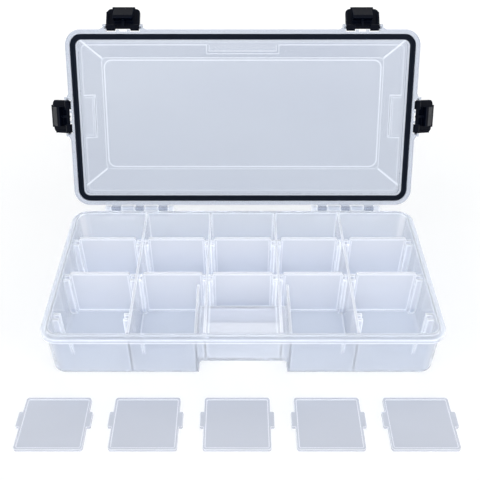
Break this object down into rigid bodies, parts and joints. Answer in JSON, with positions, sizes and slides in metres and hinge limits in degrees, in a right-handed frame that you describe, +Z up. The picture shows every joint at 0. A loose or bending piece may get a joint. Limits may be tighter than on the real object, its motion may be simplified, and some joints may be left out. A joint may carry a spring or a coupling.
{
  "type": "compartment storage box",
  "caption": "Clear oblong box for beads and small parts, with a gasketed hinged lid, snap latches, fixed partitions, lift-out dividers in slots and loose spare dividers.",
  "frame": {"origin": "centre of the tray's footprint, on the table", "axes": "+X along the box to its right, -Y to the front with the finger recess, +Z up"},
  "size_m": [0.2604, 0.2346, 0.1505],
  "materials": {
    "clear_tray": "clear moulded plastic, gloss, faint blue tint",
    "clear_lid": "clear moulded plastic, gloss, faint blue tint",
    "clear_pin": "clear plastic rod",
    "black_rubber": "matt black seal",
    "black_plastic": "satin black moulded plastic",
    "frosted_divider": "translucent moulded plastic, light frost"
  },
  "bodies": {
    "tray": {"base_tray": "clear_tray", "hinge_pin_left": "clear_pin", "hinge_pin_right": "clear_pin"},
    "lid": {"lid": "clear_lid", "lid_gasket": "black_rubber"},
    "latch_front_left": {"latch_front_left": "black_plastic"},
    "latch_front_right": {"latch_front_right": "black_plastic"},
    "latch_left": {"latch_left": "black_plastic"},
    "latch_right": {"latch_right": "black_plastic"},
    "divider_row1_column1": {"divider_row1_column1": "frosted_divider"},
    "divider_row1_column2": {"divider_row1_column2": "frosted_divider"},
    "divider_row1_column3": {"divider_row1_column3": "frosted_divider"},
    "divider_row1_column4": {"divider_row1_column4": "frosted_divider"},
    "divider_row1_column5": {"divider_row1_column5": "frosted_divider"},
    "divider_row2_column1": {"divider_row2_column1": "frosted_divider"},
    "divider_row2_column2": {"divider_row2_column2": "frosted_divider"},
    "divider_row2_column3": {"divider_row2_column3": "frosted_divider"},
    "divider_row2_column4": {"divider_row2_column4": "frosted_divider"},
    "divider_row2_column5": {"divider_row2_column5": "frosted_divider"},
    "spare_divider_1": {"spare_divider_1": "frosted_divider"},
    "spare_divider_2": {"spare_divider_2": "frosted_divider"},
    "spare_divider_3": {"spare_divider_3": "frosted_divider"},
    "spare_divider_4": {"spare_divider_4": "frosted_divider"},
    "spare_divider_5": {"spare_divider_5": "frosted_divider"}
  },
  "joints": [
    {"name": "lid_hinge", "type": "hinge", "parent": "tray", "child": "lid", "pos_m": [0, 0.0608, 0.0346], "axis": [-1, 0, 0], "range_deg": [-115.8, 0]},
    {"name": "latch_front_left_pivot", "type": "hinge", "parent": "lid", "child": "latch_front_left", "pos_m": [-0.078, 0.11482, 0.14199], "axis": [-1, 0, 0], "range_deg": [-116, 0]},
    {"name": "latch_front_right_pivot", "type": "hinge", "parent": "lid", "child": "latch_front_right", "pos_m": [0.078, 0.11482, 0.14199], "axis": [-1, 0, 0], "range_deg": [-116, 0]},
    {"name": "latch_left_pivot", "type": "hinge", "parent": "lid", "child": "latch_left", "pos_m": [-0.1172, 0.08984, 0.09031], "axis": [0, -0.4352, -0.9003], "range_deg": [-116, 0]},
    {"name": "latch_right_pivot", "type": "hinge", "parent": "lid", "child": "latch_right", "pos_m": [0.1172, 0.08984, 0.09031], "axis": [0, 0.4352, 0.9003], "range_deg": [-116, 0]},
    {"name": "divider_row1_column1_lift", "type": "slide", "parent": "tray", "child": "divider_row1_column1", "axis": [0, 0, 1], "range_m": [0, 0.045]},
    {"name": "divider_row1_column2_lift", "type": "slide", "parent": "tray", "child": "divider_row1_column2", "axis": [0, 0, 1], "range_m": [0, 0.045]},
    {"name": "divider_row1_column3_lift", "type": "slide", "parent": "tray", "child": "divider_row1_column3", "axis": [0, 0, 1], "range_m": [0, 0.045]},
    {"name": "divider_row1_column4_lift", "type": "slide", "parent": "tray", "child": "divider_row1_column4", "axis": [0, 0, 1], "range_m": [0, 0.045]},
    {"name": "divider_row1_column5_lift", "type": "slide", "parent": "tray", "child": "divider_row1_column5", "axis": [0, 0, 1], "range_m": [0, 0.045]},
    {"name": "divider_row2_column1_lift", "type": "slide", "parent": "tray", "child": "divider_row2_column1", "axis": [0, 0, 1], "range_m": [0, 0.045]},
    {"name": "divider_row2_column2_lift", "type": "slide", "parent": "tray", "child": "divider_row2_column2", "axis": [0, 0, 1], "range_m": [0, 0.045]},
    {"name": "divider_row2_column3_lift", "type": "slide", "parent": "tray", "child": "divider_row2_column3", "axis": [0, 0, 1], "range_m": [0, 0.045]},
    {"name": "divider_row2_column4_lift", "type": "slide", "parent": "tray", "child": "divider_row2_column4", "axis": [0, 0, 1], "range_m": [0, 0.045]},
    {"name": "divider_row2_column5_lift", "type": "slide", "parent": "tray", "child": "divider_row2_column5", "axis": [0, 0, 1], "range_m": [0, 0.045]},
    {"name": "spare_divider_1_lift", "type": "slide", "parent": "tray", "child": "spare_divider_1", "axis": [0, 0, 1], "range_m": [0, 0.045]},
    {"name": "spare_divider_2_lift", "type": "slide", "parent": "tray", "child": "spare_divider_2", "axis": [0, 0, 1], "range_m": [0, 0.045]},
    {"name": "spare_divider_3_lift", "type": "slide", "parent": "tray", "child": "spare_divider_3", "axis": [0, 0, 1], "range_m": [0, 0.045]},
    {"name": "spare_divider_4_lift", "type": "slide", "parent": "tray", "child": "spare_divider_4", "axis": [0, 0, 1], "range_m": [0, 0.045]},
    {"name": "spare_divider_5_lift", "type": "slide", "parent": "tray", "child": "spare_divider_5", "axis": [0, 0, 1], "range_m": [0, 0.045]}
  ]
}
